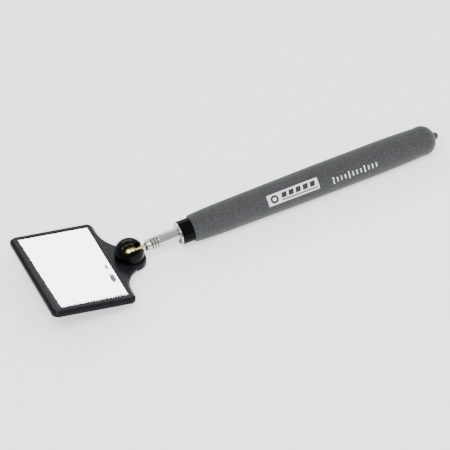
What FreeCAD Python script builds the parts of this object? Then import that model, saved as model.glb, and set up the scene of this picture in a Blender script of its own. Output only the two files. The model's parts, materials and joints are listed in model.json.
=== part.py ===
"""Telescoping inspection mirror: a framed rectangular glass on a ball joint, a chromed rod
that slides and turns in a barrel, and a dipped cushion grip.

Frame: +X runs along the handle from the mirror to the grip's closed end, +Z is up, and the
origin is on the handle's axis at the middle of the grip's straight stretch.  The mirror head
has its own frame at the ball's centre: x towards the handle, z out of the glass.
"""
import FreeCAD, Part
import math
import os
import re
import Sketcher

V = FreeCAD.Vector
WHOLE_TURN = 360
HALF_TURN = 180
GAP = 1e-6                      # how near two lengths are when they count as equal
LEVEL = 1e-5                    # how near an edge is to a height when it lies there

# ---------------------------------------------------------------- driving dimensions (mm, deg)
DIMENSIONS = {
    "stations along the handle's axis, from the ball's centre": {
        "nose_tip": 11.9, "nose_root": 16.2, "crimp_front": 16.5, "tube_start": 22.4, "shank_end": 30.0,
        "mouth_front": 38.2, "core_front": 39.2, "bush_front": 41.1, "flare_rear": 41.7,
        "bush_rear": 53.5,
        "stop_front": 156.0, "shim_front": 159.2, "shim_rear": 170.8, "rod_end": 174.0,
        "bumper_front": 174.6, "bumper_rear": 182.0, "barrel_rear": 190.0,
        "plug_front": 221.0, "core_rear": 229.0, "plug_rear": 230.5,
        "grip_front": 48.6, "grip_shoulder": 50.4, "grip_swell": 74.0, "straight_front": 140.0,
        "grip_mid": 165.0, "straight_rear": 190.0, "grip_turn": 230.4, "grip_rear": 242.4,
        "nipple_root": 243.5, "nipple_tip": 246.0,
    },
    "handle": {
        "barrel_bore": 5.6, "barrel_radius": 6.35, "mouth_radius": 8.5, "dish_radius": 7.6,
        "lip_round": 0.5, "core_radius": 8.75, "core_break": 0.6, "slip": 0.05,
        "grip_bore": 8.8, "grip_front_radius": 10.2, "front_break": 1.4, 
        "grip_swell_radius": 11.16, "grip_radius": 11.8, "grip_turn_radius": 10.8, "grip_rear_radius": 3.3,
        "shoulder_round": 1.6, "swell_round": 380.0, "taper_round": 816.0, "end_round": 10.0,
        "nipple_radius": 2.7, "nipple_round": 2.75, "grip_end_wall": 0.4,
    },
    "rod": {
        "rod_radius": 4.75, "rod_wall": 0.6, "nose_radius": 2.65, "nose_root_radius": 4.5,
        "nose_round": 6.0, "crimp_depth": 0.5, "crimp_width": 1.1, "crimp_pitch": 2.2,
        "crimp_count": 3, "neck_radius": 2.0, "ball_radius": 5.6, "waist_radius": 3.6,
        "waist_front": 15.0, "stop_radius": 5.3, "stop_length": 3.0, "shim_angle": 172.0,
        "end_clearance": 0.2, "edge_break": 0.3,
    },
    "mirror head, heights from the ball's centre along the glass's normal": {
        "ball_to_glass": 43.0, "glass_top": -4.3, "rim_top": -3.7, "back": -8.4,
        "glass_width": 54.0, "glass_length": 88.9, "glass_thick": 2.0, "glass_corner": 0.8,
        "glass_seam": 0.25, "pad_thick": 0.5, "pad_inset": 1.5, "pocket_slack": 0.12,
        "rim_width": 4.7, "rim_bevel": 1.9, "frame_corner": 5.0, "back_round": 0.7,
        "tab_radius": 11.8, "tab_fillet": 30.0, "boss_radius": 11.9, "lip_bottom": -5.0,
        "well_radius": 11.5, "cover_thick": 1.3, "boss_foot": 12.6, "boss_skirt": 2.4,
        "boss_round": 4.0,
    },
    "swivel joint": {
        "dome_radius": 10.9, "dome_foot": -2.0, "flange_radius": 11.4, "flange_top": -5.1,
        "flange_bottom": -6.6, "swivel_slip": 0.08, "ball_slip": 0.05, "neck_slack": 1.0,
        "seat_radius": 5.6, "seat_top": -3.2, "seat_bottom": -6.35, "spring_bore": 3.0,
        "spring_radius": 5.4, "spring_thick": 0.3, "spring_top": -6.42, "spring_rise": 0.33,
        "head_tilt": 10.5, "head_swivel": -2.9, "slot_roll": 35.0, "lowest_lean": -2.0,
        "highest_lean": 112.0, "sweep_reach": 11.9, "sweep_peak": 16.4,
    },
}

doc = FreeCAD.newDocument("inspection_mirror")
sheet = doc.addObject("Spreadsheet::Sheet", "Dims")
row = 0
for group, cells in DIMENSIONS.items():
    row += 1
    sheet.set("A%d" % row, group)
    for alias, size in cells.items():
        row += 1
        sheet.set("A%d" % row, alias)
        sheet.set("B%d" % row, str(size))
        sheet.setAlias("B%d" % row, alias)
doc.recompute()
ALIASES = {alias for cells in DIMENSIONS.values() for alias in cells}
pieces = []


# ---------------------------------------------------------------- helpers
def bound(text):
    """An expression on the sheet, from one written with bare dimension names."""
    return re.sub(r"[a-z_]+", lambda word: "Dims." + word[0] if word[0] in ALIASES else word[0], text)


def value(text):
    """What an expression with bare dimension names comes to, as a number."""
    return float(sheet.evalExpression("1.0 * (%s)" % bound(text)))


def station(name):
    """The X of a station, which the sheet measures from the ball's centre."""
    return "(%s - grip_mid)" % name


def new_body(label, listed=True):
    """A body on the handle's axis; a listed one is a piece of the object."""
    body = doc.addObject("PartDesign::Body", label)
    body.Label = label
    if listed:
        pieces.append(body)
    return body


def place_at_ball(piece, *turns):
    """Moves a piece to the ball's centre, turned by each (axis, angle) in order."""
    rotation = FreeCAD.Rotation()
    for axis, angle in turns:
        rotation = rotation * FreeCAD.Rotation(axis, value(angle))
    piece.Placement = FreeCAD.Placement(V(), rotation)
    piece.setExpression("Placement.Base.x", bound("0 - grip_mid"))


def new_sketch(body, name, plane, height=None):
    """A sketch on one of the body's own origin planes, raised by height along its normal."""
    support = next(item for item in body.Origin.OriginFeatures if item.Role == plane)
    sketch = body.newObject("Sketcher::SketchObject", body.Name + "_" + name)
    sketch.AttachmentSupport = [(support, "")]
    sketch.MapMode = "FlatFace"
    if height is not None:
        sketch.setExpression("AttachmentOffset.Base.z", bound(height))
    return sketch


def bind(sketch, constraint, expression):
    """Adds a constraint whose size follows the sheet."""
    index = sketch.addConstraint(constraint)
    sketch.setExpression("Constraints[%d]" % index, bound(expression))


def pin_point(sketch, edge, end, across, up):
    """Holds one end of an edge at (across, up), both written as expressions."""
    axis_pins = (("DistanceX", across, -2), ("DistanceY", up, -1))
    for kind, expression, axis in axis_pins:
        if abs(value(expression)) < GAP:
            sketch.addConstraint(Sketcher.Constraint("PointOnObject", edge, end, axis))
        else:
            size = value(expression)
            bind(sketch, Sketcher.Constraint(kind, -1, 1, edge, end, size), expression)


def add_arc(sketch, start, finish, radius, turn):
    """An arc from start to finish; turn 1 runs anticlockwise and -1 clockwise.

    Returns the edge with the numbers of its start and finish points.
    """
    chord = finish - start
    to_left = V(-chord.y, chord.x, 0).normalize()
    centre = (start + finish) * 0.5 + to_left * turn * math.sqrt(radius ** 2 - chord.Length ** 2 / 4)
    ends = (start, finish) if turn > 0 else (finish, start)
    first_angle, last_angle = [math.atan2(end.y - centre.y, end.x - centre.x) for end in ends]
    if last_angle < first_angle:
        last_angle += 2 * math.pi
    circle = Part.Circle(centre, V(0, 0, 1), radius)
    edge = sketch.addGeometry(Part.ArcOfCircle(circle, first_angle, last_angle), False)
    return (edge, 1, 2) if turn > 0 else (edge, 2, 1)


def closed_outline(sketch, corners):
    """A loop through the corners (across, up); one with (radius, turn) starts an arc."""
    spots = [V(value(corner[0]), value(corner[1]), 0) for corner in corners]
    edges = []
    for index, corner in enumerate(corners):
        start, finish = spots[index], spots[(index + 1) % len(spots)]
        if len(corner) == 2:
            edges.append((sketch.addGeometry(Part.LineSegment(start, finish), False), 1, 2))
        else:
            edges.append(add_arc(sketch, start, finish, value(corner[2]), corner[3]))
    for index, (edge, first, last) in enumerate(edges):
        following, following_first, _ = edges[(index + 1) % len(edges)]
        sketch.addConstraint(Sketcher.Constraint("Coincident", edge, last, following, following_first))
    for (edge, first, last), corner in zip(edges, corners):
        pin_point(sketch, edge, first, corner[0], corner[1])
        if len(corner) > 2:
            bind(sketch, Sketcher.Constraint("Radius", edge, value(corner[2])), corner[2])


def ring_sketch(sketch, *radii):
    """Circles about the sketch's origin."""
    for radius in radii:
        edge = sketch.addGeometry(Part.Circle(V(), V(0, 0, 1), value(radius)), False)
        sketch.addConstraint(Sketcher.Constraint("Coincident", edge, 3, -1, 1))
        bind(sketch, Sketcher.Constraint("Radius", edge, value(radius)), radius)


def rounded_rectangle(sketch, left, right, half_length, corner):
    """A rectangle from left to right and from -half_length to half_length, corners rounded."""
    low, high = "0 - (%s)" % half_length, half_length
    closed_outline(sketch, [
        ("%s + %s" % (left, corner), low), ("%s - %s" % (right, corner), low, corner, 1),
        (right, "%s + %s" % (low, corner)), (right, "%s - %s" % (high, corner), corner, 1),
        ("%s - %s" % (right, corner), high), ("%s + %s" % (left, corner), high, corner, 1),
        (left, "%s - %s" % (high, corner)), (left, "%s + %s" % (low, corner), corner, 1),
    ])


def feature(body, kind, name, sketch, **settings):
    """A sketched feature of the body."""
    item = body.newObject("PartDesign::" + kind, body.Name + "_" + name)
    item.Profile = sketch
    for key, setting in settings.items():
        setattr(item, key, setting)
    return item


def lengthened(body, kind, name, sketch, length, **settings):
    """A pad or pocket whose length follows the sheet."""
    item = feature(body, kind, name, sketch, **settings)
    item.setExpression("Length", bound(length))
    return item


def turned_on_handle(label, corners):
    """A piece turned about the handle's axis, from corners (X, radius)."""
    body = new_body(label)
    sketch = new_sketch(body, "profile", "XZ_Plane")
    closed_outline(sketch, corners)
    feature(body, "Revolution", "turned", sketch, ReferenceAxis=(sketch, ["H_Axis"]), Angle=WHOLE_TURN)
    return body


def turned_on_swivel(label, corners, listed=True):
    """A body turned about the swivel's axis, from corners (radius, height)."""
    body = new_body(label, listed)
    sketch = new_sketch(body, "profile", "XZ_Plane")
    closed_outline(sketch, corners)
    feature(body, "Revolution", "turned", sketch, ReferenceAxis=(sketch, ["V_Axis"]), Angle=WHOLE_TURN)
    return body


def edge_names(shape, height):
    """The names of the edges that lie flat at this height."""
    names = []
    for index, edge in enumerate(shape.Edges):
        box = edge.BoundBox
        if abs(box.ZMin - height) < LEVEL and box.ZLength < LEVEL:
            names.append("Edge%d" % (index + 1))
    return names


def dress(body, kind, name, height, size_property, size):
    """A chamfer or fillet on every edge of the body's last feature at one height."""
    doc.recompute()
    base = body.Tip
    item = body.newObject("PartDesign::" + kind, body.Name + "_" + name)
    item.Base = (base, edge_names(base.Shape, value(height)))
    item.setExpression(size_property, bound(size))
    return item


# ---------------------------------------------------------------- handle
def make_barrel():
    """The chromed outer tube, with its mouth rolled out into a dished flange."""
    turned_on_handle("barrel", [
        (station("bush_front"), "barrel_bore"),
        (station("mouth_front"), "dish_radius"),
        (station("mouth_front"), "mouth_radius - lip_round", "lip_round", -1),
        (station("mouth_front + lip_round"), "mouth_radius"),
        (station("core_front"), "mouth_radius"),
        (station("core_front"), "dish_radius"),
        (station("flare_rear"), "barrel_radius"),
        (station("barrel_rear"), "barrel_radius"),
        (station("barrel_rear"), "barrel_bore"),
    ])


def make_mouth_bush():
    """The brass bush that guides the rod behind the mouth."""
    turned_on_handle("mouth_bush", [
        (station("bush_front + slip"), "rod_radius + slip"),
        (station("bush_front + slip"), "barrel_bore - slip"),
        (station("bush_rear"), "barrel_bore - slip"),
        (station("bush_rear"), "rod_radius + slip"),
    ])


def make_barrel_bumper():
    """The rubber stop at the barrel's inner end, which the pushed-in rod meets."""
    bumper = doc.addObject("Part::Cylinder", "barrel_bumper")
    bumper.Label = "barrel_bumper"
    bumper.Placement = FreeCAD.Placement(V(), FreeCAD.Rotation(V(0, 1, 0), 90))
    bumper.setExpression("Placement.Base.x", bound(station("bumper_front")))
    bumper.setExpression("Radius", bound("barrel_bore - slip"))
    bumper.setExpression("Height", bound("bumper_rear - bumper_front"))
    pieces.append(bumper)


def make_handle_core():
    """The glossy plastic tube between barrel and grip; its front stretch stays bare."""
    turned_on_handle("handle_core", [
        (station("flare_rear"), "barrel_radius + slip"),
        (station("core_front"), "dish_radius + slip"),
        (station("core_front"), "core_radius - core_break", "core_break", -1),
        (station("core_front + core_break"), "core_radius"),
        (station("core_rear"), "core_radius"),
        (station("core_rear"), "barrel_radius + slip"),
    ])


def make_core_end_plug():
    """The plug that closes the core's rear end under the grip."""
    turned_on_handle("core_end_plug", [
        (station("plug_front"), "0"),
        (station("plug_front"), "barrel_radius"),
        (station("core_rear + slip"), "barrel_radius"),
        (station("core_rear + slip"), "core_radius - slip"),
        (station("plug_rear"), "core_radius - slip"),
        (station("plug_rear"), "0"),
    ])


def make_grip():
    """The dipped cushion grip: swelling front, straight middle, round end with a drip nipple."""
    turned_on_handle("grip", [
        (station("grip_front"), "grip_bore"),
        (station("grip_front"), "grip_front_radius - front_break", "shoulder_round", -1),
        (station("grip_shoulder"), "grip_front_radius", "swell_round", -1),
        (station("grip_swell"), "grip_swell_radius"),
        (station("straight_front"), "grip_radius"),
        (station("straight_rear"), "grip_radius", "taper_round", -1),
        (station("grip_turn"), "grip_turn_radius", "end_round", -1),
        (station("grip_rear"), "grip_rear_radius"),
        (station("nipple_root"), "nipple_radius", "nipple_round", -1),
        (station("nipple_tip"), "0"),
        (station("plug_rear + grip_end_wall"), "0"),
        (station("plug_rear + grip_end_wall"), "grip_bore"),
    ])


# ---------------------------------------------------------------- rod
def make_rod_tube():
    """The chromed inner tube: its nose is drawn down and crimped in rings on the ball stud."""
    body = turned_on_handle("rod_tube", [
        (station("nose_tip"), "neck_radius + slip"),
        (station("nose_tip"), "nose_radius", "nose_round", -1),
        (station("nose_root"), "nose_root_radius"),
        (station("tube_start"), "nose_root_radius"),
        (station("tube_start + rod_wall"), "rod_radius"),
        (station("rod_end"), "rod_radius"),
        (station("rod_end"), "rod_radius - rod_wall"),
        (station("tube_start + rod_wall"), "rod_radius - rod_wall"),
        (station("tube_start + rod_wall"), "waist_radius + slip"),
        (station("waist_front"), "waist_radius + slip"),
        (station("waist_front - rod_wall"), "neck_radius + slip"),
    ])
    groove_profile = new_sketch(body, "crimp_profile", "XZ_Plane")
    closed_outline(groove_profile, [
        (station("crimp_front"), "nose_root_radius"),
        (station("crimp_front + crimp_width / 2"), "nose_root_radius - crimp_depth"),
        (station("crimp_front + crimp_width"), "nose_root_radius"),
        (station("crimp_front + crimp_width"), "rod_radius + crimp_depth"),
        (station("crimp_front"), "rod_radius + crimp_depth"),
    ])
    groove = feature(body, "Groove", "crimp", groove_profile,
                     ReferenceAxis=(groove_profile, ["H_Axis"]), Angle=WHOLE_TURN)
    doc.recompute()
    crimps = body.newObject("PartDesign::LinearPattern", body.Name + "_crimps")
    crimps.Originals = [groove]
    crimps.Direction = (groove_profile, ["H_Axis"])
    crimps.setExpression("Length", bound("crimp_pitch * (crimp_count - 1)"))
    crimps.setExpression("Occurrences", bound("crimp_count"))
    body.Tip = crimps


def make_ball_stud():
    """The brass ball, its neck, and the shank that the rod's nose is crimped on."""
    ball_x = station("0")
    turned_on_handle("ball_stud", [
        ("%s - ball_radius" % ball_x, "0", "ball_radius", -1),
        ("%s + sqrt(ball_radius * ball_radius - neck_radius * neck_radius)" % ball_x, "neck_radius"),
        (station("waist_front - rod_wall + slip"), "neck_radius"),
        (station("waist_front + slip"), "waist_radius"),
        (station("tube_start + rod_wall + slip"), "waist_radius"),
        (station("tube_start + rod_wall + slip"), "rod_radius - rod_wall - slip"),
        (station("shank_end"), "rod_radius - rod_wall - slip"),
        (station("shank_end"), "0"),
    ])


def make_stop(label, front):
    """A brass ring fixed on the rod's inner end; two of them hold the friction shims."""
    turned_on_handle(label, [
        (station(front), "rod_radius + slip / 2"),
        (station(front), "stop_radius - edge_break"),
        (station("%s + edge_break" % front), "stop_radius"),
        (station("%s + stop_length - end_clearance" % front), "stop_radius"),
        (station("%s + stop_length - end_clearance" % front), "rod_radius + slip / 2"),
    ])


def make_friction_shim(label, start_angle):
    """One of the two half shells that drag in the barrel and hold the rod where it is put."""
    cylinders = {}
    for name, radius in (("shell", "barrel_bore - slip"), ("bore", "rod_radius + slip")):
        cylinders[name] = doc.addObject("Part::Cylinder", label + "_" + name)
        cylinders[name].setExpression("Radius", bound(radius))
        cylinders[name].setExpression("Height", bound("shim_rear - shim_front"))
    cylinders["shell"].setExpression("Angle", bound("shim_angle"))
    shim = doc.addObject("Part::Cut", label)
    shim.Label = label
    shim.Base, shim.Tool = cylinders["shell"], cylinders["bore"]
    about_barrel = FreeCAD.Rotation(V(1, 0, 0), start_angle) * FreeCAD.Rotation(V(0, 1, 0), 90)
    shim.Placement = FreeCAD.Placement(V(), about_barrel)
    shim.setExpression("Placement.Base.x", bound(station("shim_front")))
    pieces.append(shim)


# ---------------------------------------------------------------- swivel joint
def make_swivel_cap():
    """The slotted dome over the ball: it turns in the frame's boss, the neck tilts in its slot."""
    foot_radius = "sqrt(dome_radius * dome_radius - dome_foot * dome_foot)"
    socket = "(ball_radius + ball_slip)"
    blank = turned_on_swivel("cap_blank", [
        ("0", socket, socket, -1),
        (socket, "0"),
        (socket, "flange_bottom"),
        ("flange_radius", "flange_bottom"),
        ("flange_radius", "flange_top"),
        (foot_radius, "flange_top"),
        (foot_radius, "dome_foot", "dome_radius", 1),
        ("0", "dome_radius"),
    ], listed=False)
    place_at_ball(blank, (V(0, 1, 0), "head_tilt"))
    cap = doc.addObject("Part::Cut", "swivel_cap")
    cap.Label = "swivel_cap"
    cap.Base, cap.Tool = blank, make_neck_sweep()
    pieces.append(cap)


def make_neck_sweep():
    """The room that the neck sweeps as it tilts, with its slack: the shape of the cap's slot.

    Its own x axis is the neck's as modelled, and it opens towards z.
    """
    body = new_body("neck_sweep", listed=False)
    fan = new_sketch(body, "side", "XZ_Plane")
    closed_outline(fan, [
        ("0", "0"),
        ("sweep_reach * cos(lowest_lean)", "sweep_reach * sin(lowest_lean)"),
        ("sweep_reach", "dome_radius"),
        ("0", "sweep_peak"),
        ("sweep_reach * cos(highest_lean)", "sweep_reach * sin(highest_lean)"),
    ])
    lengthened(body, "Pad", "fan", fan, "2 * (neck_radius + neck_slack)", Midplane=True)
    for name, lean in (("low_end", "lowest_lean"), ("high_end", "highest_lean")):
        add_sweep_end(body, name, lean)
    place_at_ball(body, (V(1, 0, 0), "slot_roll"))
    return body


def leaned(across, up, lean):
    """The expressions of a corner (across, up) after it has leaned about the ball's centre."""
    return ("(%s) * cos(%s) - (%s) * sin(%s)" % (across, lean, up, lean),
            "(%s) * sin(%s) + (%s) * cos(%s)" % (across, lean, up, lean))


def add_sweep_end(body, name, lean):
    """Rounds one end of the neck's sweep: a bar along the neck where it leans furthest."""
    half_width = "(neck_radius + neck_slack)"
    sketch = new_sketch(body, name, "XZ_Plane")
    corners = [("0", "0"), ("sweep_reach", "0"), ("sweep_reach", half_width), ("0", half_width)]
    turned = [leaned(across, up, lean) for across, up in corners]
    closed_outline(sketch, turned)
    far_end = V(value(turned[1][0]), value(turned[1][1]), 0)
    axis = sketch.addGeometry(Part.LineSegment(V(), far_end), True)
    sketch.addConstraint(Sketcher.Constraint("Coincident", axis, 1, -1, 1))
    sketch.addConstraint(Sketcher.Constraint("Coincident", axis, 2, 0, 2))
    feature(body, "Revolution", name + "_bar", sketch, ReferenceAxis=(sketch, ["Axis0"]), Angle=WHOLE_TURN)


def make_ball_seat():
    """The nylon cup under the ball, inside the cap."""
    cup = "(ball_radius + ball_slip)"
    rim = "sqrt(%s * %s - seat_top * seat_top)" % (cup, cup)
    seat = turned_on_swivel("ball_seat", [
        ("0", "0 - %s" % cup, cup, 1),
        (rim, "seat_top"),
        ("seat_radius", "seat_top"),
        ("seat_radius", "seat_bottom"),
        ("0", "seat_bottom"),
    ])
    place_at_ball(seat, (V(0, 1, 0), "head_tilt"))


HEAD_TURNS = ((V(0, 1, 0), "head_tilt"), (V(0, 0, 1), "head_swivel"))


def make_seat_spring():
    """The coned spring washer that presses the seat against the ball."""
    spring = turned_on_swivel("seat_spring", [
        ("spring_bore", "spring_top"),
        ("spring_radius", "spring_top - spring_rise"),
        ("spring_radius", "spring_top - spring_rise - spring_thick"),
        ("spring_bore", "spring_top - spring_thick"),
    ])
    place_at_ball(spring, *HEAD_TURNS)


def make_boss_cover():
    """The plug pressed into the boss from behind; it holds the cap, spring and seat in."""
    cover = turned_on_swivel("boss_cover", [
        ("0", "back + cover_thick"),
        ("well_radius - slip", "back + cover_thick"),
        ("well_radius - slip", "back"),
        ("0", "back"),
    ])
    place_at_ball(cover, *HEAD_TURNS)


# ---------------------------------------------------------------- mirror
FRAME_LEFT = "(0 - ball_to_glass - glass_width / 2 - rim_width)"
FRAME_RIGHT = "(0 - ball_to_glass + glass_width / 2 + rim_width)"
FRAME_HEIGHT = "(rim_top - back)"


def tab_outline(sketch):
    """The tab from the frame's long side to the boss, with its wide concave fillets."""
    fillet_x = "(%s + tab_fillet)" % FRAME_RIGHT
    reach = "(tab_radius + tab_fillet)"
    fillet_y = "sqrt(%s * %s - %s * %s)" % (reach, reach, fillet_x, fillet_x)
    touch_x = "%s * tab_radius / %s" % (fillet_x, reach)
    touch_y = "%s * tab_radius / %s" % (fillet_y, reach)
    inside = "(%s - rim_width / 2)" % FRAME_RIGHT
    closed_outline(sketch, [
        (inside, "0 - %s" % fillet_y),
        (FRAME_RIGHT, "0 - %s" % fillet_y, "tab_fillet", -1),
        (touch_x, "0 - %s" % touch_y, "tab_radius", 1),
        ("tab_radius", "0", "tab_radius", 1),
        (touch_x, touch_y, "tab_fillet", -1),
        (FRAME_RIGHT, fillet_y),
        (inside, fillet_y),
    ])


def make_mirror_frame():
    """The tray that holds the glass, with the tab and the round boss of the joint."""
    body = new_body("mirror_frame")
    blank = new_sketch(body, "blank_outline", "XY_Plane", "back")
    half_length = "(glass_length / 2 + rim_width)"
    rounded_rectangle(blank, FRAME_LEFT, FRAME_RIGHT, half_length, "frame_corner")
    lengthened(body, "Pad", "blank", blank, FRAME_HEIGHT)
    tab = new_sketch(body, "tab_outline", "XY_Plane", "back")
    tab_outline(tab)
    lengthened(body, "Pad", "tab", tab, FRAME_HEIGHT)
    dress(body, "Chamfer", "bevel", "rim_top", "Size", "rim_bevel")
    dress(body, "Fillet", "back_edge", "back", "Radius", "back_round")
    boss = new_sketch(body, "boss_profile", "XZ_Plane")
    closed_outline(boss, [
        ("0", "back"),
        ("boss_foot", "back"),
        ("boss_foot", "back + boss_skirt", "boss_round", 1),
        ("boss_radius", "rim_top"),
        ("0", "rim_top"),
    ])
    feature(body, "Revolution", "boss", boss, ReferenceAxis=(boss, ["V_Axis"]), Angle=WHOLE_TURN)
    recess = new_sketch(body, "recess_outline", "XY_Plane", "rim_top")
    slack = "pocket_slack"
    rounded_rectangle(recess, "(0 - ball_to_glass - glass_width / 2 - %s)" % slack,
                      "(0 - ball_to_glass + glass_width / 2 + %s)" % slack,
                      "(glass_length / 2 + %s)" % slack, "(glass_corner + %s)" % slack)
    lengthened(body, "Pocket", "recess", recess, "rim_top - glass_top + glass_thick + pad_thick")
    well = new_sketch(body, "well_outline", "XY_Plane", "back")
    ring_sketch(well, "well_radius")
    lengthened(body, "Pocket", "well", well, "lip_bottom - back", Reversed=True)
    lip = new_sketch(body, "lip_outline", "XY_Plane", "rim_top")
    ring_sketch(lip, "sqrt(dome_radius * dome_radius - dome_foot * dome_foot) + swivel_slip")
    lengthened(body, "Pocket", "lip", lip, "%s - cover_thick" % FRAME_HEIGHT)
    place_at_ball(body, *HEAD_TURNS)


def make_mirror_glass():
    """The silvered glass, with its top edges seamed."""
    body = new_body("mirror_glass")
    outline = new_sketch(body, "outline", "XY_Plane", "glass_top - glass_thick")
    rounded_rectangle(outline, "(0 - ball_to_glass - glass_width / 2)",
                      "(0 - ball_to_glass + glass_width / 2)", "(glass_length / 2)", "glass_corner")
    lengthened(body, "Pad", "pane", outline, "glass_thick")
    dress(body, "Chamfer", "seam", "glass_top", "Size", "glass_seam")
    place_at_ball(body, *HEAD_TURNS)


def make_adhesive_pad():
    """The foam tape that bonds the glass to the tray's floor."""
    body = new_body("adhesive_pad")
    outline = new_sketch(body, "outline", "XY_Plane", "glass_top - glass_thick - pad_thick")
    half_width = "(glass_width / 2 - pad_inset)"
    rounded_rectangle(outline, "(0 - ball_to_glass - %s)" % half_width,
                      "(0 - ball_to_glass + %s)" % half_width,
                      "(glass_length / 2 - pad_inset)", "pad_inset")
    lengthened(body, "Pad", "tape", outline, "pad_thick")
    place_at_ball(body, *HEAD_TURNS)


make_barrel()
make_mouth_bush()
make_barrel_bumper()
make_handle_core()
make_core_end_plug()
make_grip()
make_rod_tube()
make_ball_stud()
make_stop("rod_stop_ring", "stop_front")
make_stop("rod_end_collar", "shim_rear + end_clearance")
shim_start = value("(%d - shim_angle) / 2" % HALF_TURN)
make_friction_shim("friction_shim_near", shim_start)
make_friction_shim("friction_shim_far", shim_start + HALF_TURN)
make_swivel_cap()
make_ball_seat()
make_seat_spring()
make_boss_cover()
make_mirror_frame()
make_mirror_glass()
make_adhesive_pad()
doc.recompute()

# ---------------------------------------------------------------- checks and files
for item in doc.Objects:
    if "Invalid" in item.State or "Error" in item.State:
        raise RuntimeError("%s did not recompute: %s" % (item.Name, item.State))
os.makedirs("parts", exist_ok=True)
for piece in pieces:
    shape = piece.Shape
    if shape.isNull() or not shape.isValid() or len(shape.Solids) != 1:
        raise RuntimeError("%s is not one valid solid" % piece.Label)
    shape.exportStep(os.path.join("parts", piece.Label + ".step"))
    print("%-20s %10.1f mm3" % (piece.Label, shape.Volume))
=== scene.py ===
"""Telescoping inspection mirror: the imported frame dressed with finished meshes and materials."""
import json
import math
import random

import bmesh
import bpy
from mathutils import Matrix, Vector


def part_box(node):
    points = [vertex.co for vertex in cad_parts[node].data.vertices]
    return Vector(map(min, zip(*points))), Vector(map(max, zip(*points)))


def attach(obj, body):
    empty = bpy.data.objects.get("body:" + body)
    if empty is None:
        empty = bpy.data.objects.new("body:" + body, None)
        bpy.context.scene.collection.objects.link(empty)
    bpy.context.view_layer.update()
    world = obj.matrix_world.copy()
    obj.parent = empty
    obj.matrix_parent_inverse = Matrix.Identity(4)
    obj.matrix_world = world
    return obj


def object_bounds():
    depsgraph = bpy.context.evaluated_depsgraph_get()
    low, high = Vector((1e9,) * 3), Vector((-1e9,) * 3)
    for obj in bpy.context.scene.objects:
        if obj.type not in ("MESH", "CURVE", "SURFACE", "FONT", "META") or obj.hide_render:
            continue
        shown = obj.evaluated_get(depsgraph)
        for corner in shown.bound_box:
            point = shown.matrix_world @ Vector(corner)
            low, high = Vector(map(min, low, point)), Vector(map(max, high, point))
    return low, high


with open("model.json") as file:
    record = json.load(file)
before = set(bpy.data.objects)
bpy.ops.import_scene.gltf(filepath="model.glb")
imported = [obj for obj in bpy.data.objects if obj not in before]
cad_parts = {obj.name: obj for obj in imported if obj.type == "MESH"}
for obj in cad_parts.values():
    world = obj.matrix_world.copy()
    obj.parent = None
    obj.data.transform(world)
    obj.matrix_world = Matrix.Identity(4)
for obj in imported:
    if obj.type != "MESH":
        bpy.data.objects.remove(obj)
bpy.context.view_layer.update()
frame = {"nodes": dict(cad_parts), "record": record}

MM = 0.001
NODES = frame["nodes"]
JOINTS = {joint["name"]: joint for joint in frame["record"]["behaviour"]["joints"]}

# ---------------------------------------------------------------- the frame's own places
BALL = Vector(JOINTS["head_tilt"]["pos_m"])
NORMAL = Vector(JOINTS["head_swivel"]["axis"]).normalized()
GRIP_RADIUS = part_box("grip")[1][2]
FLOOR_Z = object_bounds()[0][2]


def head_frame():
    """The mirror head's own frame: z out of the glass, and x along the glass's plane from its
    middle towards the ball.
    """
    corners = [Vector(v.co) for v in NODES["mirror_glass"].data.vertices]
    to_ball = BALL - sum(corners, Vector()) / len(corners)
    across = (to_ball - NORMAL * to_ball.dot(NORMAL)).normalized()
    along = NORMAL.cross(across).normalized()
    return Matrix((across, along, NORMAL)).transposed().to_4x4()


HEAD = Matrix.Translation(BALL) @ head_frame()
HEAD_INVERSE = HEAD.inverted()


def head_box(node):
    """(lowest, highest) corner of a node in the mirror head's own frame."""
    spots = [HEAD_INVERSE @ v.co for v in NODES[node].data.vertices]
    low = Vector(min(spot[axis] for spot in spots) for axis in range(3))
    high = Vector(max(spot[axis] for spot in spots) for axis in range(3))
    return low, high


# ---------------------------------------------------------------- camera and light
VIEW_WIDTH = 321.9 * MM
CAMERA_DISTANCE = 4.0
TO_CAMERA = Vector((-0.242, -0.741, 0.627)).normalized()
IMAGE_UP = Vector((0.346, 0.537, 0.769))
BALL_RIGHT_OF_LEFT_EDGE = 92.5 * MM
BALL_BELOW_MIDDLE = 19.6 * MM
SENSOR_MM = 36
FARTHEST_SEEN = 50
SURROUND_STRENGTH = 0.95
SURROUND_STOPS = (              # height, grey
    (0.0, 0.75), (0.03, 0.10), (0.15, 0.10), (0.27, 0.90), (1.0, 0.92),
)
GREEN_SHARE = 1.01              # how much greener than grey the surround is
LAMPS = (                       # name, place, size, power
    ("key_lamp", (-0.5, -0.7, 1.2), (0.9, 0.6), 16),
    ("fill_lamp", (0.9, -0.5, 0.8), (0.6, 0.6), 6),
    ("rim_lamp", (0.1, 1.0, 0.7), (1.2, 0.3), 7),
)
FLOOR_REACH = 6.0


def make_camera():
    """A long lens, a little turned about its own axis, that sees the whole tool."""
    up = (IMAGE_UP - TO_CAMERA * IMAGE_UP.dot(TO_CAMERA)).normalized()
    right = up.cross(TO_CAMERA)
    target = BALL + right * (VIEW_WIDTH / 2 - BALL_RIGHT_OF_LEFT_EDGE) + up * BALL_BELOW_MIDDLE
    camera_data = bpy.data.cameras.new("camera")
    camera_data.sensor_width = SENSOR_MM
    camera_data.lens = SENSOR_MM * CAMERA_DISTANCE / VIEW_WIDTH
    camera_data.clip_end = FARTHEST_SEEN
    camera = bpy.data.objects.new("camera", camera_data)
    bpy.context.scene.collection.objects.link(camera)
    turn = Matrix((right, up, TO_CAMERA)).transposed().to_4x4()
    camera.matrix_world = Matrix.Translation(target + TO_CAMERA * CAMERA_DISTANCE) @ turn
    bpy.context.scene.camera = camera


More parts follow.
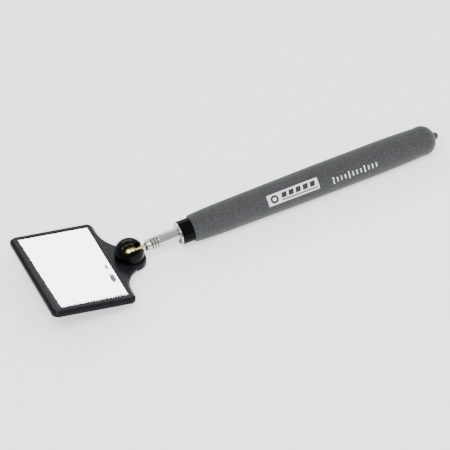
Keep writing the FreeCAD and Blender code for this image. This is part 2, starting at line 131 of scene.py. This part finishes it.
def make_light(name, place, size, power):
    """A soft rectangular lamp aimed at the origin."""
    lamp = bpy.data.lights.new(name, "AREA")
    lamp.shape = "RECTANGLE"
    lamp.size, lamp.size_y = size
    lamp.energy = power
    item = bpy.data.objects.new(name, lamp)
    bpy.context.scene.collection.objects.link(item)
    item.location = place
    item.rotation_euler = (-Vector(place)).to_track_quat("-Z", "Y").to_euler()


def set_stops(ramp, stops):
    """Sets a colour ramp's elements from (position, colour) stops."""
    while len(ramp.elements) < len(stops):
        ramp.elements.new(0.5)
    for element, (position, colour) in zip(ramp.elements, stops):
        element.position = position
        element.color = (*colour, 1)


def make_surround():
    """A pale surround with a darker band low down, which draws dark lines along bright tubes."""
    world = bpy.data.worlds.new("studio")
    world.use_nodes = True
    tree = world.node_tree
    place = tree.nodes.new("ShaderNodeTexCoord")
    height = tree.nodes.new("ShaderNodeSeparateXYZ")
    band = tree.nodes.new("ShaderNodeValToRGB")
    tree.links.new(place.outputs["Generated"], height.inputs["Vector"])
    tree.links.new(height.outputs["Z"], band.inputs["Fac"])
    tree.links.new(band.outputs["Color"], tree.nodes["Background"].inputs["Color"])
    set_stops(band.color_ramp, [(position, (grey, grey * GREEN_SHARE, grey))
                                for position, grey in SURROUND_STOPS])
    tree.nodes["Background"].inputs["Strength"].default_value = SURROUND_STRENGTH
    bpy.context.scene.world = world


def make_studio():
    """The surround, a pale floor and three soft lamps."""
    make_surround()
    for lamp in LAMPS:
        make_light(*lamp)
    mesh = bpy.data.meshes.new("floor")
    corners = [(x * FLOOR_REACH, y * FLOOR_REACH, FLOOR_Z)
               for x, y in ((-1, -1), (1, -1), (1, 1), (-1, 1))]
    mesh.from_pydata(corners, [], [(0, 1, 2, 3)])
    floor = bpy.data.objects.new("floor", mesh)
    bpy.context.scene.collection.objects.link(floor)
    floor.data.materials.append(plain_floor())


# ---------------------------------------------------------------- material helpers
def new_material(name, **settings):
    """A material with its Principled shader's own sockets set."""
    material = bpy.data.materials.new(name)
    material.use_nodes = True
    shader = material.node_tree.nodes["Principled BSDF"]
    for key, setting in settings.items():
        socket = shader.inputs[key.replace("_", " ")]
        socket.default_value = (*setting, 1) if isinstance(setting, tuple) else setting
    return material


class Graph:
    """Short calls for adding nodes to one material."""

    def __init__(self, material):
        self.tree = material.node_tree
        self.shader = self.tree.nodes["Principled BSDF"]

    def node(self, kind, settings=None, **inputs):
        """A node with its properties set and its inputs set or linked."""
        item = self.tree.nodes.new("ShaderNode" + kind)
        for key, setting in (settings or {}).items():
            setattr(item, key, setting)
        for key, source in inputs.items():
            self.supply(item.inputs[key.replace("_", " ")], source)
        return item

    def supply(self, socket, source):
        """Links a pattern to a socket, or sets the socket's value."""
        if isinstance(source, bpy.types.NodeSocket):
            self.tree.links.new(source, socket)
        else:
            socket.default_value = source

    def place(self):
        """The point on the object, in metres."""
        return self.node("TexCoord").outputs["Object"]

    def noise(self, scale, detail=2.0, roughness=0.5, vector=None):
        """A noise pattern's factor."""
        item = self.node("TexNoise", Vector=vector or self.place(), Scale=scale, Detail=detail,
                         Roughness=roughness)
        return item.outputs["Fac"]

    def ramp(self, factor, stops):
        """A colour ramp through (position, colour) stops."""
        item = self.node("ValToRGB", Fac=factor)
        set_stops(item.color_ramp, stops)
        return item.outputs["Color"]

    def spread(self, factor, low, high):
        """A factor from 0 to 1 spread between two values."""
        return self.node("MapRange", Value=factor, To_Min=low, To_Max=high).outputs["Result"]

    def fade(self, value, start, end, at_start, at_end):
        """A value that goes from at_start to at_end as another goes from start to end."""
        item = self.node("MapRange", Value=value, From_Min=start, From_Max=end,
                         To_Min=at_start, To_Max=at_end)
        return item.outputs["Result"]

    def combine(self, operation, first, second):
        """Two values put through a Math operation."""
        item = self.node("Math", {"operation": operation})
        self.supply(item.inputs[0], first)
        self.supply(item.inputs[1], second)
        return item.outputs["Value"]

    def scaled(self, colour, factor):
        """A colour made lighter or darker by a factor."""
        item = self.node("VectorMath", {"operation": "SCALE"}, Vector=colour, Scale=factor)
        return item.outputs["Vector"]

    def bump(self, height, distance, strength):
        """A bump that the shader's normal takes."""
        item = self.node("Bump", Height=height, Distance=distance, Strength=strength)
        self.tree.links.new(item.outputs["Normal"], self.shader.inputs["Normal"])

    def feed(self, socket, source):
        """Links a pattern to one of the shader's sockets."""
        self.tree.links.new(source, self.shader.inputs[socket])


def plain_floor():
    """The studio's pale sweep."""
    return new_material("pale_floor", Base_Color=(0.92, 0.92, 0.92), Roughness=1.0,
                        Specular_IOR_Level=0.0, Emission_Color=(1.0, 1.0, 1.0),
                        Emission_Strength=1.0)


def grip_vinyl():
    """Foamed vinyl: charcoal with fine pale and dark flecks, softly pebbled."""
    material = new_material("grip_vinyl", Specular_IOR_Level=0.3, Sheen_Weight=0.22,
                            Sheen_Roughness=0.45)
    graph = Graph(material)
    flecks = graph.noise(1250, detail=4, roughness=0.75)
    colour = graph.ramp(flecks, [(0.30, (0.010, 0.011, 0.012)), (0.45, (0.036, 0.039, 0.041)),
                                 (0.57, (0.050, 0.053, 0.055)), (0.72, (0.122, 0.128, 0.132))])
    cloud = graph.noise(60, detail=2)
    graph.feed("Base Color", graph.scaled(colour, graph.spread(cloud, 0.85, 1.12)))
    graph.feed("Roughness", graph.spread(flecks, 0.66, 0.9))
    graph.bump(graph.noise(1500, detail=4, roughness=0.65), 0.00010, 0.55)
    return material


def moulded_black(name, colour, shine, low, high, grain):
    """Moulded black plastic with a fine grain and slightly uneven gloss."""
    material = new_material(name, Specular_IOR_Level=shine)
    graph = Graph(material)
    cloud = graph.noise(90, detail=4)
    graph.feed("Roughness", graph.spread(cloud, low, high))
    shade = graph.ramp(cloud, [(0.3, tuple(part * 0.8 for part in colour)),
                               (0.7, tuple(part * 1.25 for part in colour))])
    graph.feed("Base Color", shade)
    graph.bump(graph.noise(2500, detail=2), grain, 0.5)
    return material


STREAK_SCALE = (4, 620, 620)    # stretches the streaks along the handle
CRIMP_FRONT, CRIMP_BOTTOM, CRIMP_TOP = 16.3 * MM, 4.05 * MM, 4.45 * MM
CRIMP_SHADE_BRIGHTNESS = 0.08              # how bright the painted shade leaves the crimps' bottoms
# Painted shade: the plating darkens towards its underside between these two heights, in place of a
# darker reflection there.
UNDERSIDE_SHADE_LOW, UNDERSIDE_SHADE_HIGH = -4.75 * MM, -0.5 * MM
UNDERSIDE_SHADE_SHARE = 0.52               # how bright the painted shade leaves the underside


def chrome_plate():
    """Bright plating: streaks that are partly drawn marks and partly painted dark reflections,
    faint smears, painted shade towards the underside, and painted shade in the crimps.
    """
    material = new_material("chrome_with_painted_shade", Metallic=1.0)
    graph = Graph(material)
    place = graph.place()
    streak_stretch = graph.node("VectorMath", {"operation": "MULTIPLY"}, Vector=place)
    streak_stretch.inputs[1].default_value = STREAK_SCALE
    streaks = graph.noise(1.0, detail=3.0, vector=streak_stretch.outputs["Vector"])
    # Streaks darker and lighter at random all round: partly drawn marks, partly painted dark
    # reflections.
    streak_and_reflection_colour = graph.ramp(streaks, [(0.34, (0.30, 0.295, 0.285)), (0.47, (0.66, 0.655, 0.64)),
                                (0.60, (0.80, 0.80, 0.79))])
    split = graph.node("SeparateXYZ", Vector=place).outputs
    across = graph.node("CombineXYZ", Y=split["Y"], Z=split["Z"]).outputs["Vector"]
    radius = graph.node("VectorMath", {"operation": "LENGTH"}, Vector=across).outputs["Value"]
    # Painted shade in the crimps: darker towards each groove's bottom, behind the nose only.
    depth = graph.fade(radius, CRIMP_BOTTOM, CRIMP_TOP, 1.0, 0.0)
    behind_nose = graph.combine("GREATER_THAN", split["X"], BALL.x + CRIMP_FRONT)
    crimp_shade_mask = graph.combine("MULTIPLY", depth, behind_nose)
    crimp_shaded_colour = graph.scaled(streak_and_reflection_colour, graph.spread(crimp_shade_mask, 1.0, CRIMP_SHADE_BRIGHTNESS))
    # painted shade: darker towards the underside
    underside = graph.fade(split["Z"], UNDERSIDE_SHADE_LOW, UNDERSIDE_SHADE_HIGH, UNDERSIDE_SHADE_SHARE, 1.0)
    graph.feed("Base Color", graph.scaled(crimp_shaded_colour, underside))
    smears = graph.noise(120, detail=3)
    graph.feed("Roughness", graph.spread(smears, 0.09, 0.22))
    graph.bump(streaks, 0.00001, 0.35)
    return material


def brass_metal():
    """Turned brass, pale where it is rubbed and a little darker where it is tarnished."""
    material = new_material("turned_brass", Metallic=1.0)
    graph = Graph(material)
    tarnish = graph.noise(260, detail=4)
    colour = graph.ramp(tarnish, [(0.3, (0.66, 0.56, 0.22)), (0.65, (0.92, 0.86, 0.46))])
    graph.feed("Base Color", colour)
    graph.feed("Roughness", graph.spread(tarnish, 0.22, 0.38))
    graph.bump(graph.noise(1600, detail=2), 0.00001, 0.4)
    return material


def silvering():
    """Second-surface mirror glass: a bright, faintly cool reflection with a little dust."""
    material = new_material("silvered_glass", Base_Color=(0.79, 0.815, 0.80), Metallic=1.0)
    graph = Graph(material)
    dust = graph.noise(700, detail=6, roughness=0.7)
    graph.feed("Roughness", graph.spread(dust, 0.012, 0.05))
    return material


def glass_edge():
    """The unsilvered, ground edge of the glass: dark, greenish and half matt."""
    material = new_material("ground_glass_edge", Base_Color=(0.006, 0.009, 0.008),
                            Specular_IOR_Level=0.12)
    graph = Graph(material)
    chips = graph.noise(900, detail=4)
    graph.feed("Roughness", graph.spread(chips, 0.15, 0.5))
    graph.bump(chips, 0.00006, 0.6)
    return material


def print_ink(name, colour):
    """Screen-printed ink, slightly broken by the foam under it."""
    material = new_material(name)
    graph = Graph(material)
    wear = graph.noise(1500, detail=4, roughness=0.7)
    worn = tuple(part * 0.62 + 0.02 for part in colour)
    graph.feed("Base Color", graph.ramp(wear, [(0.30, worn), (0.46, colour)]))
    graph.feed("Roughness", graph.spread(wear, 0.45, 0.7))
    graph.bump(wear, 0.00004, 0.5)
    return material


def plain_steel():
    """Bare spring steel with a light brushed grain."""
    material = new_material("spring_steel", Base_Color=(0.5, 0.5, 0.5), Metallic=1.0)
    graph = Graph(material)
    grain = graph.noise(500, detail=4)
    graph.feed("Roughness", graph.spread(grain, 0.28, 0.45))
    return material


def matt_filler(name, colour):
    """Soft or moulded matt stock, with a fine mottle."""
    material = new_material(name, Base_Color=colour)
    graph = Graph(material)
    mottle = graph.noise(600, detail=3)
    shaded = tuple(part * 0.8 for part in colour)
    graph.feed("Base Color", graph.ramp(mottle, [(0.3, shaded), (0.7, colour)]))
    graph.feed("Roughness", graph.spread(mottle, 0.6, 0.85))
    return material


# ---------------------------------------------------------------- mesh helpers
def new_piece(name, mesh, material, body):
    """Adds a finished piece that rides on a CAD body."""
    piece = bpy.data.objects.new(name, mesh)
    bpy.context.scene.collection.objects.link(piece)
    mesh.materials.append(material)
    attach(piece, body)


def paint_node(node, material):
    """Gives a CAD node that stays as it is a finished material."""
    for item in NODES[node].material_slots:
        item.link = "OBJECT"
        item.material = material


# ---------------------------------------------------------------- the glass
SILVER_LIFT = 0.02 * MM
SILVER_MARGIN = 0.3 * MM        # how far the silvering keeps inside the glass
NEAR_TOOTH, LEFT_TOOTH = 2.1 * MM, 0.9 * MM       # one tooth's length along its edge
LEFT_BAND = (0.7 * MM, 2.8 * MM)                  # the bare band's width, far end and near end
LEFT_WOBBLE = 0.45 * MM
LEFT_JITTER = (0.2, 0.8)                          # where in its own stretch a bite may lie
SHALLOW_BITE = (0.85 * MM, 1.02 * MM)             # the near edge's bites, left end and right end
DEEP_BITE = (1.7 * MM, 4.0 * MM)
TOOTH_CORNERS = ((0.15, SHALLOW_BITE), (0.60, DEEP_BITE))
TOOTH_WOBBLE = (0.75, 1.15)                       # how much shorter or longer a bite may be
FAR_LEFT_STEP, NEAR_LEFT_STEP = 0.3 * MM, 0.6 * MM
FAR_CORNER_CUT, NEAR_CORNER_CUT, NEAR_RIGHT_RISE = 1.0 * MM, 2.0 * MM, 0.9 * MM
# Painted reflections of the joint's dome: dark jagged marks on the silvering near the joint.
DOME_REFLECTIONS = ((23.4, -19.6, 7.0, 15), (23.4, -5.6, 4.6, 9))    # across, along, size, spikes
DOME_REFLECTION_WIDTH = 0.42                                 # a painted reflection's width as a share of its length
SPIKE_REACH = (0.3, 1.0)


def between(ends, share):
    """The value that lies a share of the way from the first end to the second."""
    return ends[0] + (ends[1] - ends[0]) * share


def ragged_edge(start, end, inward, tooth, chance):
    """Points from start to end, each a band's width and a small random bite inward."""
    count = round((end - start).length / tooth)
    spots = []
    for step in range(count):
        bite = between(LEFT_BAND, step / count) + chance.uniform(0.0, LEFT_WOBBLE)
        t = (step + chance.uniform(*LEFT_JITTER)) / count
        spots.append(start.lerp(end, t) + inward * bite)
    return spots


def toothed_edge(start, end, inward, tooth, chance):
    """Points from start to end that step in and out: a row of uneven teeth."""
    count = round((end - start).length / tooth)
    spots = []
    for step in range(count):
        for share, bites in TOOTH_CORNERS:
            t = (step + share) / count
            wobble = chance.uniform(*TOOTH_WOBBLE)
            spots.append(start.lerp(end, t) + inward * between(bites, t) * wobble)
    return spots


def make_silvering(material, dome_reflection_material):
    """The reflecting sheet: two of its edges are crisp, and the other two are bitten and ragged."""
    low, high = head_box("mirror_glass")
    top = high.z + SILVER_LIFT
    left, right = low.x + SILVER_MARGIN, high.x - SILVER_MARGIN
    near, far = low.y + SILVER_MARGIN, high.y - SILVER_MARGIN
    chance = random.Random(7)
    outline = [Vector((right, near + NEAR_RIGHT_RISE, top)), Vector((right, far, top)),
               Vector((left + FAR_LEFT_STEP, far, top))]
    outline += ragged_edge(Vector((left, far - FAR_CORNER_CUT, top)),
                           Vector((left, near + NEAR_CORNER_CUT, top)),
                           Vector((1, 0, 0)), LEFT_TOOTH, chance)
    outline += toothed_edge(Vector((left + LEFT_BAND[1] + NEAR_LEFT_STEP, near, top)),
                            Vector((right, near, top)), Vector((0, 1, 0)), NEAR_TOOTH, chance)
    mesh = bpy.data.meshes.new("silvering")
    build = bmesh.new()
    face = build.faces.new([build.verts.new(HEAD @ spot) for spot in outline])
    face.normal_update()
    if face.normal.dot(NORMAL) < 0:
        face.normal_flip()
    bmesh.ops.triangulate(build, faces=build.faces[:])
    build.to_mesh(mesh)
    build.free()
    new_piece("silvering", mesh, material, "mirror_head")
    # painted reflections of the dome near the joint
    for index, (across, along, size, spikes) in enumerate(DOME_REFLECTIONS):
        make_dome_reflection(index, across, along, size, spikes, top, dome_reflection_material, chance)


def make_dome_reflection(index, across, along, size, spikes, top, material, chance):
    """A painted reflection of the joint's dome on the silvering near the joint: a dark, jagged
    sliver.
    """
    low, high = head_box("mirror_glass")
    middle = (low + high) / 2
    spots = []
    for step in range(spikes):
        angle = 2 * math.pi * step / spikes
        reach = size * MM * chance.uniform(*SPIKE_REACH)
        spots.append(Vector((middle.x + across * MM + DOME_REFLECTION_WIDTH * reach * math.cos(angle),
                             middle.y + along * MM + reach * math.sin(angle),
                             top + SILVER_LIFT)))
    # the painted reflection's sheet
    mesh = bpy.data.meshes.new("dome_reflection_sheet")
    build = bmesh.new()
    build.faces.new([build.verts.new(HEAD @ spot) for spot in spots])
    bmesh.ops.triangulate(build, faces=build.faces[:])
    build.to_mesh(mesh)
    build.free()
    new_piece("silvering_flaw_%d" % (index + 1), mesh, material, "mirror_head")


# ---------------------------------------------------------------- printing on the grip
PRINT_LIFT = 0.03 * MM
CELL = 0.8 * MM
RING_COLUMNS, RING_ROWS = 40, 2
SAME_SPOT = 1e-6
SKIN_SHARE = 0.8                # vertices nearer the axis than this share are not the outer skin
GRIP_RINGS = sorted({(round(spot.co.x, 6), round(math.hypot(spot.co.y, spot.co.z), 6))
                     for spot in NODES["grip"].data.vertices
                     if math.hypot(spot.co.y, spot.co.z) > SKIN_SHARE * GRIP_RADIUS})


def grip_radius_at(x):
    """The grip's outer radius at a station, between the rings of its own mesh."""
    before = [ring for ring in GRIP_RINGS if ring[0] <= x][-1]
    after = [ring for ring in GRIP_RINGS if ring[0] > x][0]
    share = (x - before[0]) / (after[0] - before[0])
    return between((before[1], after[1]), share)


def on_grip(x, around, lift):
    """A point just over the grip, on its near side: around is the arc length up from the
    horizontal.
    """
    radius = grip_radius_at(x) + lift
    angle = around / GRIP_RADIUS
    return Vector((x, -radius * math.cos(angle), radius * math.sin(angle)))


class PrintSheet:
    """Printed shapes laid on the grip: x runs along the grip and y round it, in metres."""

    def __init__(self, lift):
        self.build = bmesh.new()
        self.lift = lift

    def grid(self, place, columns, rows):
        """Quads over the unit square, each corner put on the grip by place(across, up)."""
        spots = [[self.build.verts.new(on_grip(*place(i / columns, j / rows), self.lift))
                  for i in range(columns + 1)] for j in range(rows + 1)]
        for j in range(rows):
            for i in range(columns):
                self.build.faces.new((spots[j][i], spots[j][i + 1],
                                      spots[j + 1][i + 1], spots[j + 1][i]))

    def bar(self, left, right, bottom, top, lean=0.0):
        """A four-sided bar; lean shifts its top along the grip."""
        columns = max(2, round((right - left) / CELL))
        rows = max(2, round((top - bottom) / CELL))
        self.grid(lambda u, v: (left + (right - left) * u + lean * v, bottom + (top - bottom) * v),
                  columns, rows)

    def ring(self, x, y, inner, outer):
        """A flat ring about (x, y)."""
        def place(u, v):
            reach = inner + (outer - inner) * v
            return x + reach * math.cos(2 * math.pi * u), y + reach * math.sin(2 * math.pi * u)
        self.grid(place, RING_COLUMNS, RING_ROWS)

    def finish(self, name, material):
        """Makes the sheet one piece on the handle."""
        bmesh.ops.remove_doubles(self.build, verts=self.build.verts[:], dist=SAME_SPOT)
        for face in self.build.faces:
            face.normal_update()
            middle = face.calc_center_median()
            if face.normal.dot(Vector((0, middle.y, middle.z))) < 0:
                face.normal_flip()
        mesh = bpy.data.meshes.new(name)
        self.build.to_mesh(mesh)
        self.build.free()
        new_piece(name, mesh, material, "handle")


PANEL_LEFT, PANEL_RIGHT = -58.8 * MM, -18.8 * MM
PANEL_MIDDLE = GRIP_RADIUS * math.radians(32)
PANEL_HALF = 4.3 * MM
INK_ON_INK_LIFT = PRINT_LIFT * 1.8
RING_IN, RING_INNER, RING_OUTER = 5.2 * MM, 1.5 * MM, 3.1 * MM
BLOCK_IN, BLOCK_STEP, BLOCK_COUNT, BLOCK_WIDTH = 10.6 * MM, 5.6 * MM, 5, 3.9 * MM
BLOCK_BOTTOM, BLOCK_TOP, BLOCK_LEAN = -0.9 * MM, 2.9 * MM, 0.9 * MM
LINE_BOTTOM, LINE_TOP, LINE_SHORT = -2.9 * MM, -2.0 * MM, 1.4 * MM
SCALE_LEFT, SCALE_STEP, SCALE_COUNT = -7.8 * MM, 3.1 * MM, 12
SCALE_MIDDLE = GRIP_RADIUS * math.radians(19)
MARK_WIDTH, LONG_MARK_HALF, SHORT_MARK_HALF, LONG_MARK_EVERY = 0.9 * MM, 2.7 * MM, 1.7 * MM, 4


def make_printing():
    """A plain white panel with generic blocks and a ring, and a row of scale marks after it."""
    white = print_ink("white_ink", (0.84, 0.84, 0.85))
    black = print_ink("black_ink", (0.012, 0.012, 0.014))
    panel = PrintSheet(PRINT_LIFT)
    panel.bar(PANEL_LEFT, PANEL_RIGHT, PANEL_MIDDLE - PANEL_HALF, PANEL_MIDDLE + PANEL_HALF)
    panel.finish("printed_panel", white)
    marks = PrintSheet(INK_ON_INK_LIFT)
    marks.ring(PANEL_LEFT + RING_IN, PANEL_MIDDLE, RING_INNER, RING_OUTER)
    for step in range(BLOCK_COUNT):
        left = PANEL_LEFT + BLOCK_IN + BLOCK_STEP * step
        marks.bar(left, left + BLOCK_WIDTH, PANEL_MIDDLE + BLOCK_BOTTOM, PANEL_MIDDLE + BLOCK_TOP,
                  BLOCK_LEAN)
    marks.bar(PANEL_LEFT + BLOCK_IN, PANEL_RIGHT - LINE_SHORT,
              PANEL_MIDDLE + LINE_BOTTOM, PANEL_MIDDLE + LINE_TOP)
    marks.finish("printed_blocks", black)
    scale = PrintSheet(PRINT_LIFT)
    for step in range(SCALE_COUNT):
        left = SCALE_LEFT + SCALE_STEP * step
        half = SHORT_MARK_HALF if step % LONG_MARK_EVERY else LONG_MARK_HALF
        scale.bar(left, left + MARK_WIDTH, SCALE_MIDDLE - half, SCALE_MIDDLE + half)
    scale.finish("printed_scale", white)


def main():
    """Camera, light, materials and every piece, in that order."""
    make_camera()
    make_studio()
    joint_black = moulded_black("joint_black", (0.0015, 0.0017, 0.002), 0.08, 0.12, 0.28, 0.00001)
    frame_black = moulded_black("frame_black", (0.0085, 0.0095, 0.0115), 0.07, 0.24, 0.42, 0.00002)
    gloss_black = moulded_black("gloss_black", (0.002, 0.002, 0.0025), 0.05, 0.05, 0.12, 0.000004)
    chrome = chrome_plate()
    brass = brass_metal()
    steel = plain_steel()
    finishes = {
        "grip": grip_vinyl(), "handle_core": gloss_black, "barrel": chrome, "rod_tube": chrome,
        "mouth_bush": brass, "ball_stud": brass, "rod_stop_ring": brass, "rod_end_collar": brass,
        "friction_shim_near": steel, "friction_shim_far": steel, "seat_spring": steel,
        "swivel_cap": joint_black, "boss_cover": joint_black,
        "mirror_frame": frame_black, "mirror_glass": glass_edge(),
        "barrel_bumper": matt_filler("stop_rubber", (0.03, 0.03, 0.03)),
        "core_end_plug": matt_filler("plug_plastic", (0.04, 0.04, 0.04)),
        "ball_seat": matt_filler("seat_nylon", (0.8, 0.79, 0.73)),
        "adhesive_pad": matt_filler("foam_tape", (0.75, 0.75, 0.72)),
    }
    for node, material in finishes.items():
        paint_node(node, material)
    make_silvering(silvering(), print_ink("painted_dome_reflection", (0.13, 0.14, 0.14)))
    make_printing()


main()
